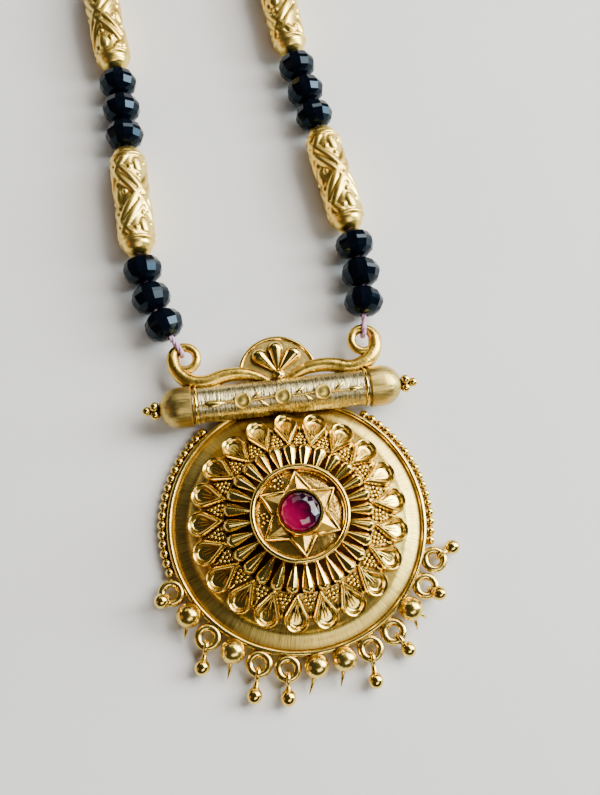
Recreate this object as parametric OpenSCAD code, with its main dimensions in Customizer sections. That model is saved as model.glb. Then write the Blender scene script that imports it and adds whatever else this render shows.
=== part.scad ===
// A mangalsutra lying flat: a round relief pendant on two strings of cut crystals and cast barrels.
// Millimetres, +Z up. The pendant's back and the string rest on z = 0, and the pendant's top is +Y.
// Inside the modules the origin is the middle of the pendant's disc, and "placed" moves it home.

/* [Disc] */
// Outer radius of the cup round the stone
cup_r = 6.8; // [6.2:0.1:7.4]
// Width of the ring of slim petals
slim_ring_w = 3.6; // [3.2:0.1:4.2]
// Width of the ring of teardrop petals
drop_ring_w = 4.6; // [4.2:0.1:5.2]
// Width of the satin band
band_w = 2.7; // [2:0.1:3.4]
// Width of the flat edge outside the satin band
edge_w = 0.9; // [0.7:0.1:1.4]
// Thickness of the back plate at its edge
plate_t = 1.3; // [1:0.1:1.8]
// Rise of the satin band from its outer to its inner edge
band_rise = 1.2; // [0.8:0.1:1.6]
// Rise of the ring of teardrop petals
drop_ring_rise = 2; // [1.4:0.1:2.6]
// Height of the cup's wall above the petals' floor
cup_h = 3.9; // [3:0.1:4.6]
// Depth of the cup's dish below its rim
dish_depth = 0.7; // [0.4:0.1:1]
// Thickness of the border wire
border_wire_d = 0.84; // [0.6:0.02:1]
// Diameter of one granule of the rim
granule_d = 1.44; // [1.1:0.02:1.8]

/* [Petals] */
// Number of slim petals round the cup
slim_count = 28; // [24:1:30]
// Diameter of a slim petal at its outer end
slim_d = 1.7; // [1.3:0.05:1.9]
// Number of teardrop petals
drop_count = 21; // [18:1:22]
// Diameter of a teardrop petal's round end, along its wire
petal_d = 2.6; // [2.2:0.1:3]
// Thickness of a teardrop petal's wire
petal_wire_d = 0.6; // [0.4:0.05:0.8]

/* [Stone] */
// Diameter of the stone
stone_d = 5.4; // [4.4:0.1:6]
// Height of the stone above its seat
stone_h = 1.8; // [1.4:0.1:2.4]
// Wall of the bezel round the stone
bezel_wall = 0.4; // [0.3:0.05:0.6]
// Height of the bezel above the cup's dish
bezel_h = 1.9; // [1.4:0.1:2.4]
// Room left round the stone
stone_gap = 0.05; // [0.03:0.01:0.1]

/* [Tube] */
// Diameter of the tube over the disc
tube_d = 5.2; // [4.6:0.1:5.8]
// Length of the tube between its domes
tube_l = 26.8; // [23:0.2:31]
// Diameter of the end domes
dome_d = 6; // [5.4:0.1:6.6]
// Straight part of an end dome
dome_l = 1.5; // [1:0.1:2.5]
// Distance between the round studs on the tube
stud_pitch = 5.85; // [4.5:0.05:7]
// Diameter of a round stud
stud_d = 2.3; // [1.8:0.1:2.8]

/* [Scrolls and fan] */
// Distance from the middle to each string ring
ring_x = 13.4; // [12.4:0.1:14.4]
// Height of the string rings above the tube's top edge
ring_rise = 5; // [4.6:0.1:5.6]
// Diameter of a string ring, along its wire
ring_d = 3.56; // [3.3:0.02:4.2]
// Thickness of a string ring's wire
ring_wire_d = 1.24; // [1:0.02:1.3]
// Thickness of a scroll
scroll_d = 2.3; // [1.6:0.05:2.4]
// Radius of a scroll's outer curl
curl_r = 4.1; // [3.8:0.1:4.4]
// Radius of a scroll's inner arch
arch_r = 8; // [7.4:0.1:8.6]
// Radius of the fan
fan_r = 5.85; // [5:0.05:6.6]
// Thickness of the fan
fan_t = 1; // [0.7:0.05:1.4]

/* [Fringe] */
// Diameter of a fringe ring, along its wire
loop_d = 2.8; // [2.6:0.02:3.1]
// Thickness of a fringe ring's wire
loop_wire_d = 1.06; // [0.8:0.02:1.1]
// Diameter of a fringe ball
ball_d = 3.4; // [2.8:0.05:3.6]
// Angle between neighbours in the fringe
fringe_step = 11.3; // [11:0.05:11.6]
// Diameter of a drop's ball
drop_d = 2.16; // [1.8:0.02:2.3]
// Thickness of a drop's wire
drop_wire_d = 0.42; // [0.34:0.02:0.5]

/* [String] */
// Diameter of a crystal
crystal_d = 6; // [5:0.1:6.6]
// Length of a crystal
crystal_l = 4.45; // [3.8:0.05:5]
// Sides of a crystal
crystal_sides = 10; // [10:2:12]
// Diameter of a barrel over its relief
barrel_d = 5.8; // [5:0.1:6.4]
// Length of a barrel
barrel_l = 18.5; // [15:0.25:20]
// Height of the barrels' relief
relief_h = 0.35; // [0.2:0.05:0.5]
// Barrels on each side
barrels = 8; // [7:1:9]
// Crystals between two barrels
crystals_in_row = 3; // [2:1:4]
// Space between two beads
bead_gap = 0.35; // [0.3:0.05:0.5]
// Thickness of the thread
thread_d = 0.8; // [0.6:0.05:1]
// Room round the thread in a bead's bore
bore_gap = 0.2; // [0.15:0.05:0.3]
// Diameter of a clasp eye, along its wire
eye_d = 4; // [3.6:0.1:5]
// Thickness of the clasp's wire
clasp_wire_d = 1.3; // [1:0.05:1.5]

/* [Hidden] */
$fn = 72;

// Radii of the disc, from the cup outwards
slim_r = cup_r + slim_ring_w;
petals_r = slim_r + drop_ring_w;
band_r = petals_r + band_w;
plate_r = band_r + edge_w;

// Heights of the disc, from the edge inwards
band_z = plate_t + 0.2;
petals_z = band_z + band_rise + 0.2;
slim_z = petals_z + drop_ring_rise;
rim_z = slim_z + cup_h;
dish_z = rim_z - dish_depth;
stone_seat_z = dish_z + bezel_h - stone_h * 0.55;
petal_slope = atan(drop_ring_rise / drop_ring_w);
bezel_r = stone_d / 2 + stone_gap + bezel_wall;

// The tube lies across the disc's top edge, turned so that its studs lean to the lower side
tube_y = plate_r - 0.1;
tube_z = dome_d / 2;
stud_lean = 16;
collar_x = tube_l / 2 - 0.7;
dome_end_x = tube_l / 2 + dome_l + dome_d / 2;

// The scrolls rise from the middle of the tube, and each ends in a string ring
ring_c = [ring_x, tube_y + tube_d / 2 + ring_rise];
ring_z = 2.6;
curl_c = [ring_x + ring_d / 2 - curl_r, ring_c[1]];
join_angle = 22;
arch_c = curl_c - (curl_r + arch_r) * [sin(join_angle), cos(join_angle)];
fan_y = tube_y + tube_d / 2 + 1.1;
fan_z = 1.7;
fan_neck = 4;

// Fringe: what sits at each place, left to right (1 is a ring, 0 is a ball)
fringe_plan = [1, 0, 1, 0, 1, 1, 0, 0, 1, 1, 0, 1, 1];
solder = 0.35;
loop_z = 1.25;
loop_place_r = plate_r + (loop_d + loop_wire_d) / 2 - solder;
ball_place_r = plate_r + ball_d / 2 - solder;
fringe_end = (len(fringe_plan) - 1) / 2 * fringe_step;

// Drops: place in the fringe, way the hook leaves its ring (0 is away from the disc),
// reach of the ball past the ring's wire and height of the ball's middle, in ball diameters
drop_place = 0;
drop_turn = 1;
drop_reach = 2;
drop_lift = 3;
drops = [
    [0, 18, -0.57, 1.42],
    [2, 28, 0.51, 0.52],
    [4, 7, 0.59, 0.52],
    [5, 5, 0.40, 0.52],
    [8, -22, 0.62, 0.52],
    [9, -1, 0.09, 0.52],
    [11, -13, -0.46, 1.42],
    [12, 49, 0.12, 0.52]];

// Tails of wire on the fringe balls: place, way it points from the ball (0 is away from the disc), length
tails = [[1, 40, 1.4], [3, 16, 1.9], [6, -22, 2.1], [7, -26, 1.9], [10, -34, 1.2], [10, 10, 0.9]];

// Room between a wire and the wire or thread that goes round it
wrap_gap = 0.13;
thread_turn_r = ring_wire_d / 2 + wrap_gap + thread_d / 2;
eye_turn_r = clasp_wire_d / 2 + wrap_gap + thread_d / 2;
ring_stub = ring_d / 2 + thread_turn_r + thread_d / 2 + 0.35;
eye_stub = eye_d / 2 + eye_turn_r + thread_d / 2 + 0.35;
eye_z = eye_turn_r + thread_d / 2 + 0.05;

// The string from its ring outwards, one letter for each bead
function side_plan(i = 0) = i == barrels
    ? [for (k = [1:crystals_in_row]) "c"]
    : concat([for (k = [1:crystals_in_row]) "c"], ["b"], side_plan(i + 1));
beads = side_plan();
bead_z = max(crystal_d, barrel_d) / 2;
function bead_l(kind) = kind == "b" ? barrel_l : crystal_l;
function run(n) = n == 0 ? 0 : run(n - 1) + bead_l(beads[n - 1]) + bead_gap;
beads_l = run(len(beads));

// Routes of the two strings, chosen by hand, from the string ring to the clasp's eye
left_route = [
    [-13.4, 26.1], [-17.2, 35], [-19, 48], [-19, 62], [-19.4, 75], [-20.3, 89], [-23.5, 104],
    [-30, 121], [-39, 139], [-48, 157], [-55.5, 175], [-60.5, 193], [-62.3, 211], [-61, 229.5],
    [-56, 247], [-46.5, 262.5], [-33, 274.5], [-16, 282]];
right_route = [
    [13.4, 26.1], [14.7, 35], [13.8, 48], [11.8, 62], [9.7, 75], [7.9, 89], [8.7, 104],
    [14, 121], [23, 139], [32, 157], [39.5, 175], [44.5, 193], [46.3, 211], [45, 229.5],
    [40, 247], [30.5, 262.5], [17, 274.5], [0, 282]];

// A smooth curve through the points, from the first point, sized so that the string fits it
function bend(a, b, c, d, t) = 0.5 * (2 * b + (c - a) * t + (2 * a - 5 * b + 4 * c - d) * t * t
    + (3 * b - a - 3 * c + d) * t * t * t);
function smooth(p, steps = 8) =
    let (n = len(p), q = concat([2 * p[0] - p[1]], p, [2 * p[n - 1] - p[n - 2]]))
    concat([for (i = [1:n - 1], k = [0:steps - 1]) bend(q[i - 1], q[i], q[i + 1], q[i + 2], k / steps)],
        [p[n - 1]]);
function lengths(p, i = 0, so_far = 0, out = []) = i == len(p) ? out
    : let (here = so_far + (i == 0 ? 0 : norm(p[i] - p[i - 1])))
        lengths(p, i + 1, here, concat(out, [here]));
function last(v) = v[len(v) - 1];
function fitted(route, start) =
    let (p = smooth(route), k = (ring_stub + beads_l + eye_stub) / last(lengths(p)))
    [for (q = p) start + (q - p[0]) * k];
function at_length(p, sums, s, i = 1) = i == len(p) - 1 || sums[i] >= s
    ? p[i - 1] + (p[i] - p[i - 1]) * (s - sums[i - 1]) / (sums[i] - sums[i - 1])
    : at_length(p, sums, s, i + 1);

left_line = fitted(left_route, [-ring_c[0], ring_c[1]]);
right_line = fitted(right_route, ring_c);

// The middles of the gaps between beads, where the string bends
function joints(line) = let (sums = lengths(line))
    [for (n = [0:len(beads)]) at_length(line, sums, ring_stub + run(n))];
left_joints = joints(left_line);
right_joints = joints(right_line);

// The whole piece is centred on its own box, from the lowest drop to the clasp
function fringe_angle(i) = (i - (len(fringe_plan) - 1) / 2) * fringe_step;
function drop_reach_x(row) = loop_wire_d / 2 + drop_d * (0.5 + row[drop_reach]);
function drop_low(row) = let (a = fringe_angle(row[drop_place]))
    -loop_place_r * cos(a) - (loop_d / 2 + drop_reach_x(row)) * cos(a + row[drop_turn]) - drop_d / 2;
low_y = min([for (row = drops) drop_low(row)]);
high_y = max(last(left_line)[1], last(right_line)[1]) + (eye_d + clasp_wire_d) / 2;
all_x = [for (q = concat(left_line, right_line)) q[0]];
home = [(min(all_x) + max(all_x)) / 2, (low_y + high_y) / 2];
module placed() translate([-home[0], -home[1], 0]) children();

module round_the_disc(count, first = 90)
    for (i = [0:count - 1]) rotate([0, 0, first - i * 360 / count]) children();

module both_sides() {
    children();
    mirror([1, 0, 0]) children();
}

module ring(d, wire_d) rotate_extrude() translate([d / 2, 0]) circle(d = wire_d);

// A wire from one point to another
module wire(a, b, d) {
    v = b - a;
    translate(a) rotate([0, acos(v[2] / norm(v)), atan2(v[1], v[0])]) cylinder(d = d, h = norm(v));
}

// The disc's turned body, with the cup and the bezel in its middle
module disc_body() {
    wall = 0.55;
    difference() {
        rotate_extrude() polygon([
            [0, 0], [plate_r, 0], [plate_r, plate_t], [band_r, band_z], [petals_r, band_z + band_rise],
            [petals_r - 0.1, petals_z], [slim_r, slim_z - 0.1], [slim_r - 0.3, slim_z - 0.6],
            [cup_r - 0.5, slim_z - 0.4], [cup_r - 0.3, slim_z], [cup_r, rim_z], [cup_r - wall, rim_z],
            [cup_r - wall - 0.1, dish_z], [bezel_r, dish_z + 0.15], [bezel_r, dish_z + bezel_h],
            [0, dish_z + bezel_h]]);
        translate([0, 0, stone_seat_z]) cylinder(r = bezel_r - bezel_wall, h = bezel_h);
    }
    translate([0, 0, plate_t + 0.25]) ring(2 * (band_r + 0.45), border_wire_d);
    translate([0, 0, rim_z]) ring(2 * (cup_r - wall / 2), wall + 0.14);
}

// Granules round the edge, from the end of the fringe up to the tube
module granule_rim() {
    place_r = plate_r + granule_d / 2 - 0.12;
    step = 360 / floor(2 * PI * place_r / (granule_d * 0.95));
    first = fringe_end + 8;
    last_angle = 180 - asin(min(0.99, (collar_x - 1) / place_r));
    both_sides() for (a = [first:step:last_angle])
        rotate([0, 0, a - 90]) translate([place_r, 0, granule_d / 2 + 0.02]) sphere(d = granule_d);
}

// A teardrop outline of wire with a keel inside, its point towards the cup
module teardrop_petal() {
    reach = drop_ring_w - petal_d / 2 - 0.9;
    end_x = petals_r - petal_d / 2 - petal_wire_d / 2 - 0.1;
    translate([end_x, 0, petals_z + 0.62]) rotate([0, petal_slope, 0]) {
        rotate([0, 0, -112]) rotate_extrude(angle = 224)
            translate([petal_d / 2, 0]) circle(d = petal_wire_d);
        for (side = [-1, 1])
            wire([-petal_d * 0.16, side * petal_d * 0.455, 0], [-reach, 0, 0], petal_wire_d * 0.92);
        wire([-reach, 0, -0.05], [petal_d * 0.2, 0, -0.12], petal_wire_d * 0.6);
    }
}

// Three granules between two teardrop petals
module small_granules() {
    spots = [[0.55, -0.42], [0.55, 0.42], [1.35, 0]];
    for (s = spots) {
        r = slim_r + s[0];
        translate([r, s[1], slim_z - s[0] * tan(petal_slope) + 0.12]) sphere(d = 0.6);
    }
}

// A slim petal that swells outwards and narrows under the cup
module slim_petal() {
    swell = slim_d / 2;
    z = slim_z + 0.1;
    translate([slim_r - swell, 0, z]) sphere(r = swell);
    translate([slim_r - swell, 0, z]) rotate([0, -86, 0])
        cylinder(r1 = swell * 0.985, r2 = 0.3, h = slim_ring_w - 0.7);
}

// Star with ridged points and small scrolls in the cup's dish
module star() {
    outer = cup_r - 0.95;
    inner = bezel_r + 0.45;
    translate([0, 0, dish_z - 0.1]) linear_extrude(0.42)
        polygon([for (i = [0:11]) (i % 2 == 0 ? outer : inner) * [cos(30 * i + 90), sin(30 * i + 90)]]);
    round_the_disc(6) wire([inner - 0.5, 0, dish_z + 0.42], [outer - 0.3, 0, dish_z + 0.22], 0.36);
    round_the_disc(6, 60) translate([(outer + inner) / 2 + 0.35, 0, dish_z + 0.02]) ring(1.1, 0.42);
}

module disc() {
    disc_body();
    granule_rim();
    round_the_disc(drop_count) teardrop_petal();
    round_the_disc(drop_count, 90 + 180 / drop_count) small_granules();
    round_the_disc(slim_count) slim_petal();
    star();
}

// Outline of the tube and its domes, to be turned about the tube's axis
module tube_outline() {
    translate([0, -tube_l / 2 - 0.01]) square([tube_d / 2, tube_l + 0.02]);
    for (end = [0, 1]) mirror([0, end]) {
        translate([0, tube_l / 2]) square([dome_d / 2, dome_l]);
        translate([0, tube_l / 2 + dome_l]) intersection() {
            circle(d = dome_d);
            translate([0, -0.1]) square(dome_d);
        }
    }
}

// Two collars beside a dome, and four granules on the dome's tip
module tube_end() {
    granule = dome_d * 0.19;
    rotate([0, 90, 0]) {
        for (x = [collar_x - 0.3, collar_x + 0.35])
            translate([0, 0, x]) rotate([0, 0, 50]) ring(tube_d - 0.1, 0.62);
        for (a = [30:120:270]) rotate([0, 0, a])
            translate([granule * 0.47, 0, dome_end_x + granule * 0.3]) sphere(d = granule);
        translate([0, 0, dome_end_x + granule * 1.05]) sphere(d = granule);
    }
}

// A round stud with a raised edge
module stud() {
    cylinder(d = stud_d - 0.2, h = 0.95);
    translate([0, 0, 0.95]) ring(stud_d - 0.36, 0.34);
}

// The tube with its ends, a raised seam line along its top and three studs on the line
module tube() translate([0, tube_y, tube_z]) {
    rotate([0, 90, 0]) rotate([0, 0, 35]) rotate_extrude() tube_outline();
    both_sides() tube_end();
    seam_x = collar_x - 1.2;
    rotate([stud_lean, 0, 0]) {
        wire([-seam_x, 0, tube_d / 2 - 0.02], [seam_x, 0, tube_d / 2 - 0.02], 0.5);
        for (x = [-1:1]) translate([x * stud_pitch, 0, tube_d / 2 - 0.6]) stud();
    }
}

// One scroll: an arch out of the middle, an outer curl and the string ring it ends in
module scroll() {
    arch_end = asin(min(1, (arch_c[0] - 1.3) / arch_r));
    translate([arch_c[0], arch_c[1], ring_z]) rotate([0, 0, 89 - join_angle])
        rotate_extrude(angle = 1 + join_angle + arch_end)
            translate([arch_r, 0]) circle(d = scroll_d * 0.94);
    translate([curl_c[0], curl_c[1], ring_z]) rotate([0, 0, -90 - join_angle])
        rotate_extrude(angle = 86 + join_angle) translate([curl_r, 0]) circle(d = scroll_d);
    translate([ring_c[0], ring_c[1], ring_z]) ring(ring_d, ring_wire_d);
    wire([collar_x, tube_y, ring_z], [collar_x, curl_c[1] - curl_r * 0.93, ring_z], scroll_d * 0.8);
}

// A half round fan with a wire edge and three petals out of one granule
module fan() {
    translate([0, fan_y, fan_z]) {
        intersection() {
            union() {
                cylinder(r = fan_r - 0.25, h = fan_t);
                translate([0, 0, fan_t]) ring(2 * fan_r - 0.5, 0.56);
            }
            translate([-fan_r - 1, 0.1, -1]) cube([2 * fan_r + 2, 2 * fan_r, fan_t + 3]);
        }
        translate([-fan_neck / 2, tube_y - fan_y, 0]) cube([fan_neck, fan_y - tube_y + 0.5, fan_t - 0.1]);
        for (a = [-38, 0, 38]) rotate([0, 0, a]) {
            translate([0, fan_r - 1.75, fan_t + 0.1]) sphere(d = 1.7);
            translate([0, fan_r - 1.75, fan_t + 0.1]) rotate([90, 0, 0])
                cylinder(d1 = 1.66, d2 = 0.5, h = fan_r - 2.2);
        }
    }
    translate([0, tube_y + tube_d / 2 + 0.45, ring_z + 0.6]) sphere(d = 1.6);
}

// Rings and balls soldered along the lower edge
module fringe() {
    for (i = [0:len(fringe_plan) - 1]) at_fringe(i)
        if (fringe_plan[i] == 1) translate([loop_place_r, 0, loop_z]) ring(loop_d, loop_wire_d);
        else translate([ball_place_r, 0, ball_d / 2 + 0.02]) sphere(d = ball_d);
    for (t = tails) at_fringe(t[0]) translate([ball_place_r, 0, ball_d / 2]) rotate([0, 0, t[1]])
        wire([ball_d * 0.4, 0, 0], [ball_d / 2 + t[2], 0, -ball_d * 0.3], 0.34);
}

module at_fringe(i) rotate([0, 0, fringe_angle(i) - 90]) children();

module pendant() {
    color("goldenrod") placed() {
        disc();
        tube();
        both_sides() scroll();
        fan();
        fringe();
    }
}

// A solid of stacked rings of points; each row is a radius, a height and a turn in steps
function ring_points(rows, n) = [for (row = rows, k = [0:n - 1])
    let (a = 360 * (k + row[2]) / n) [row[0] * cos(a), row[0] * sin(a), row[1]]];
function band_faces(rows, n, i, j) = let (back = rows[j][2] < rows[i][2])
    [for (k = [0:n - 1], half = [0, 1])
        let (next = (k + 1) % n, a = i * n + k, b = i * n + next, c = j * n + k, d = j * n + next)
        back ? (half == 0 ? [a, d, b] : [a, c, d]) : (half == 0 ? [a, c, b] : [b, c, d])];

// The stone: a table, two rows of crown facets, a girdle and a cone below
module ruby() {
    r = stone_d / 2;
    n = 12;
    rows = [[r * 0.45, 0, 0], [r, stone_h * 0.22, 0], [r, stone_h * 0.42, 0],
        [r * 0.84, stone_h * 0.74, 0.5], [r * 0.5, stone_h, 0]];
    faces = concat([for (i = [0:len(rows) - 2]) each band_faces(rows, n, i, i + 1)],
        [[for (k = [0:n - 1]) k]], [[for (k = [0:n - 1]) len(rows) * n - 1 - k]]);
    color("crimson") placed() translate([0, 0, stone_seat_z + stone_gap])
        polyhedron(ring_points(rows, n), faces);
}

// A cut crystal, drilled along its axis
module crystal() {
    r = crystal_d / 2;
    h = crystal_l / 2;
    bore = thread_d / 2 + bore_gap;
    n = crystal_sides;
    lip = bore + 0.25;
    rows = [[bore, -h, 0], [lip, -h, 0], [r * 0.83, -h * 0.62, 0.5], [r, 0, 0], [r * 0.83, h * 0.62, 0.5],
        [lip, h, 0], [bore, h, 0]];
    m = len(rows);
    polyhedron(ring_points(rows, n), [for (i = [0:m - 1]) each band_faces(rows, n, i, (i + 1) % m)]);
}

// Sets a bead between two joints of the string
module between(a, b) {
    v = b - a;
    translate([(a[0] + b[0]) / 2, (a[1] + b[1]) / 2, bead_z]) rotate([0, 90, atan2(v[1], v[0])]) children();
}

module crystals(points) {
    color("black") placed() for (i = [0:len(beads) - 1])
        if (beads[i] == "c") between(points[i], points[i + 1]) rotate([0, 0, 47 * i]) crystal();
}

// A barrel: smooth tapered ends, and crossing ribs and dots cast on its middle
module barrel() {
    body_r = barrel_d / 2 - relief_h;
    h = barrel_l / 2;
    bore = thread_d / 2 + bore_gap;
    lip = bore + 0.35;
    end_r = body_r * 0.7;
    end_l = 2.3;
    mid_h = h - end_l - 0.3;
    color("gold") difference() {
        union() {
            rotate_extrude() polygon([
                [0, -h], [lip, -h], [end_r, -h + 0.6], [body_r, -h + end_l], [body_r, h - end_l],
                [end_r, h - 0.6], [lip, h], [0, h]]);
            intersection() {
                translate([0, 0, -mid_h]) cylinder(d = barrel_d, h = 2 * mid_h);
                union() for (k = [-1:1], way = [-1, 1])
                    translate([0, 0, k * mid_h * 0.72]) rotate([way * 48, 0, 20 * k])
                        cube([barrel_d * 1.2, barrel_d * 3, 0.9], center = true);
            }
            for (z = [-mid_h * 0.72 : mid_h * 0.72 : mid_h * 0.72 + 0.01]) for (a = [0, 180])
                rotate([0, 0, a + 8]) translate([body_r, 0, z + mid_h * 0.34]) sphere(d = 0.9);
        }
        translate([0, 0, -h - 1]) cylinder(r = bore, h = barrel_l + 2);
    }
}

// The place in the string of a side's barrel
function barrel_at(i) = i * (crystals_in_row + 1) - 1;
module barrel_on(points, i) {
    n = barrel_at(i);
    placed() between(points[n], points[n + 1]) rotate([0, 0, 80 * i]) barrel();
}

// A hooked wire with a ball, hung in one ring of the fringe
module drop(row) {
    hook_r = loop_wire_d / 2 + wrap_gap + drop_wire_d / 2;
    ball_x = drop_reach_x(row);
    ball_z = drop_d * row[drop_lift] - loop_z;
    way = ball_z > 1 ? [0.4, 0, 1] : [1, 0, 0];
    start = hook_r * way / norm(way);
    color("gold") placed() at_fringe(row[drop_place]) translate([loop_place_r, 0, loop_z])
        rotate([0, 0, row[drop_turn]]) translate([loop_d / 2, 0, 0]) {
            rotate([90, 0, 0]) ring(2 * hook_r, drop_wire_d);
            wire(start, [ball_x, 0, ball_z], drop_wire_d * 1.1);
            translate([ball_x, 0, ball_z]) sphere(d = drop_d);
        }
}

// A tube of thread along points, with a sideways direction given for each point
function ring_round(p, way, side, r) = let (up = cross(side, way) / norm(cross(side, way)))
    [for (k = [0:7]) p + r * (cos(45 * k) * side + sin(45 * k) * up)];
module thread_along(path, sides) {
    n = len(path);
    rings = [for (i = [0:n - 1]) let (way = path[min(i + 1, n - 1)] - path[max(i - 1, 0)])
        each ring_round(path[i], way / norm(way), sides[i], thread_d / 2)];
    faces = concat([for (i = [0:n - 2], k = [0:7]) let (a = i * 8 + k, b = i * 8 + (k + 1) % 8)
        each [[a, a + 8, b], [b, a + 8, b + 8]]],
        [[for (k = [0:7]) k]], [[for (k = [0:7]) n * 8 - 1 - k]]);
    polyhedron(rings, faces);
}

// The turn of the thread round a wire, seen from the side: it ends towards the string
turn_angles = [58 : 36 : 346];
function turn_path(centre, way, z, r) = [for (a = turn_angles)
    [centre[0] + way[0] * r * cos(a), centre[1] + way[1] * r * cos(a), z + r * sin(a)]];
function side_of(way) = [way[1], -way[0], 0];

module thread(ring_point, points, eye_point) {
    n = len(points);
    first = (points[0] - ring_point) / norm(points[0] - ring_point);
    final = (points[n - 1] - eye_point) / norm(points[n - 1] - eye_point);
    ring_turn = turn_path(ring_point + first * ring_d / 2, first, ring_z, thread_turn_r);
    eye_turn = turn_path(eye_point + final * eye_d / 2, final, eye_z, eye_turn_r);
    middle = [for (q = points) [q[0], q[1], bead_z]];
    along = [for (i = [0:n - 1]) let (v = points[min(i + 1, n - 1)] - points[max(i - 1, 0)])
        side_of(v / norm(v))];
    color("plum") placed() thread_along(
        concat(ring_turn, middle, [for (i = [len(eye_turn) - 1 : -1 : 0]) eye_turn[i]]),
        concat([for (q = ring_turn) side_of(first)], along, [for (q = eye_turn) -side_of(final)]));
}

// The clasp behind the neck: two eyes on one bar
module clasp() {
    a = last(left_line);
    b = last(right_line);
    half = (b - a) / norm(b - a) * eye_d / 2;
    color("gold") placed() {
        for (q = [a, b]) translate([q[0], q[1], eye_z]) ring(eye_d, clasp_wire_d);
        wire([a[0] + half[0], a[1] + half[1], eye_z], [b[0] - half[0], b[1] - half[1], eye_z],
            clasp_wire_d * 1.15);
    }
}

pendant();
ruby();
crystals(left_joints);  // crystals_left
crystals(right_joints);  // crystals_right
thread([-ring_c[0], ring_c[1]], left_joints, last(left_line));  // thread_left
thread(ring_c, right_joints, last(right_line));  // thread_right
clasp();
for (i = [1:8]) drop(drops[i - 1]);
for (i = [1:barrels]) barrel_on(left_joints, i);
for (i = [1:barrels]) barrel_on(right_joints, i);
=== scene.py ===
from contextlib import contextmanager
from functools import reduce
from math import acos, cos, pi, radians, sin
from operator import add

import bmesh
import bpy
import numpy as np
from mathutils import Matrix, Vector


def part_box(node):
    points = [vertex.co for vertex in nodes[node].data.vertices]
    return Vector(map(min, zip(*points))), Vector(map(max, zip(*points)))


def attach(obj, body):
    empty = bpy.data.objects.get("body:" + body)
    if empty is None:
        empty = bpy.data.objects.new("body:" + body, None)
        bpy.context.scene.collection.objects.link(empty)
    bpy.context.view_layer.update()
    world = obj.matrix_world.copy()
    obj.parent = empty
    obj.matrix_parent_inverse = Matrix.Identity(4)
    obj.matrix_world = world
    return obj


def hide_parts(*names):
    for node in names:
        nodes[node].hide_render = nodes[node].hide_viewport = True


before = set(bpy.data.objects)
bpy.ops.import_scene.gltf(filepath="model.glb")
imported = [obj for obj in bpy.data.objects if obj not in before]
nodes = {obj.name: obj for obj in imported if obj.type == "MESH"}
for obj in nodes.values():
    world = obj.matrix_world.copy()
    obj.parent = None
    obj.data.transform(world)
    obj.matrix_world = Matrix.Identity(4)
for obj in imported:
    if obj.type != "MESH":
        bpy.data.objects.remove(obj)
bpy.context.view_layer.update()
scene = bpy.context.scene
mm = 0.001


def newObject(name, data):
    made = bpy.data.objects.new(name, data)
    scene.collection.objects.link(made)
    return made


def coat(mesh, finish):
    mesh.materials.clear()
    mesh.materials.append(finish)


# The stone marks the disc's middle. Pieces are drawn in millimetres about it and settled in metres.
stoneLow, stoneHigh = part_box("ruby")
discMiddle = Vector(((stoneLow.x + stoneHigh.x) / 2, (stoneLow.y + stoneHigh.y) / 2, 0))
inPlace = Matrix.Translation(discMiddle) @ Matrix.Scale(mm, 4)
toDisc = inPlace.inverted()

view = {
    "place": (-11.1, -25.1, 142.56), "turn": (17.70, -3.25, -7.68), "lens": 60, "sensor": 36, "near": 0.005}
cameraData = bpy.data.cameras.new("photoView")
cameraData.sensor_fit = "HORIZONTAL"
cameraData.sensor_width = view["sensor"]
cameraData.lens = view["lens"]
cameraData.clip_start = view["near"]
camera = newObject("photoView", cameraData)
camera.location = inPlace @ Vector(view["place"])
camera.rotation_euler = [radians(angle) for angle in view["turn"]]
scene.camera = camera
print("camera ready")


class Link:  # one output of a node, for sums in plain Python
    def __init__(self, tree, socket):
        self.tree, self.socket = tree, socket

    def maths(self, operation, *others):
        return self.tree.add("ShaderNodeMath", dict(enumerate((self, *others))), operation=operation)

    def clamped(self):
        return self.maths("MAXIMUM", 0.0).maths("MINIMUM", 1.0)

    def __add__(self, other): return self.maths("ADD", other)
    def __sub__(self, other): return self.maths("SUBTRACT", other)
    def __rsub__(self, other): return (self * -1) + other
    def __mul__(self, other): return self.maths("MULTIPLY", other)
    def __truediv__(self, other): return self.maths("DIVIDE", other)
    def __pow__(self, other): return self.maths("POWER", other)
    __radd__, __rmul__ = __add__, __mul__


class Tree:  # a node tree that is filled one call at a time
    def __init__(self, group, family):
        self.group, self.family = group, family

    def add(self, kind, values=None, out=0, **settings):
        node = self.group.nodes.new(kind if "Node" in kind else self.family + kind)
        for name, value in settings.items():
            setattr(node, name, value)
        for name, value in (values or {}).items():
            self.put(node.inputs[name], value)
        return Link(self, node.outputs[out]) if node.outputs else node

    def put(self, socket, value):
        if isinstance(value, Link):
            self.group.links.new(value.socket, socket)
        else:
            socket.default_value = value

    def blend(self, factor, *tints):  # two colours, mixed
        first, second = ((*tint, 1) if isinstance(tint, tuple) else tint for tint in tints)
        return self.add("Mix", {0: factor, 6: first, 7: second}, out=2, data_type="RGBA")

    def parts(self, vector):  # the x, y and z of a vector
        node = self.add("ShaderNodeSeparateXYZ", {0: vector}).socket.node
        return [Link(self, output) for output in node.outputs]

    def vector(self, x, y, z):
        return self.add("ShaderNodeCombineXYZ", {0: x, 1: y, 2: z})

    def spot(self, radius, angle, height=0.0):
        return self.vector(radius * angle.maths("COSINE"), radius * angle.maths("SINE"), height)

    def random(self, low, high, seed):
        return self.add("FunctionNodeRandomValue", {2: low, 3: high, 8: seed}, out=1, data_type="FLOAT")

    def copies(self, points, piece, angles, size=(1, 1, 1)):
        turn = self.add("FunctionNodeEulerToRotation", {0: angles})
        piece = self.add("ObjectInfo", {"Object": piece}, out="Geometry")
        return self.add("InstanceOnPoints", {"Points": points, "Instance": piece, "Rotation": turn, "Scale": size})


# Materials

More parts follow.
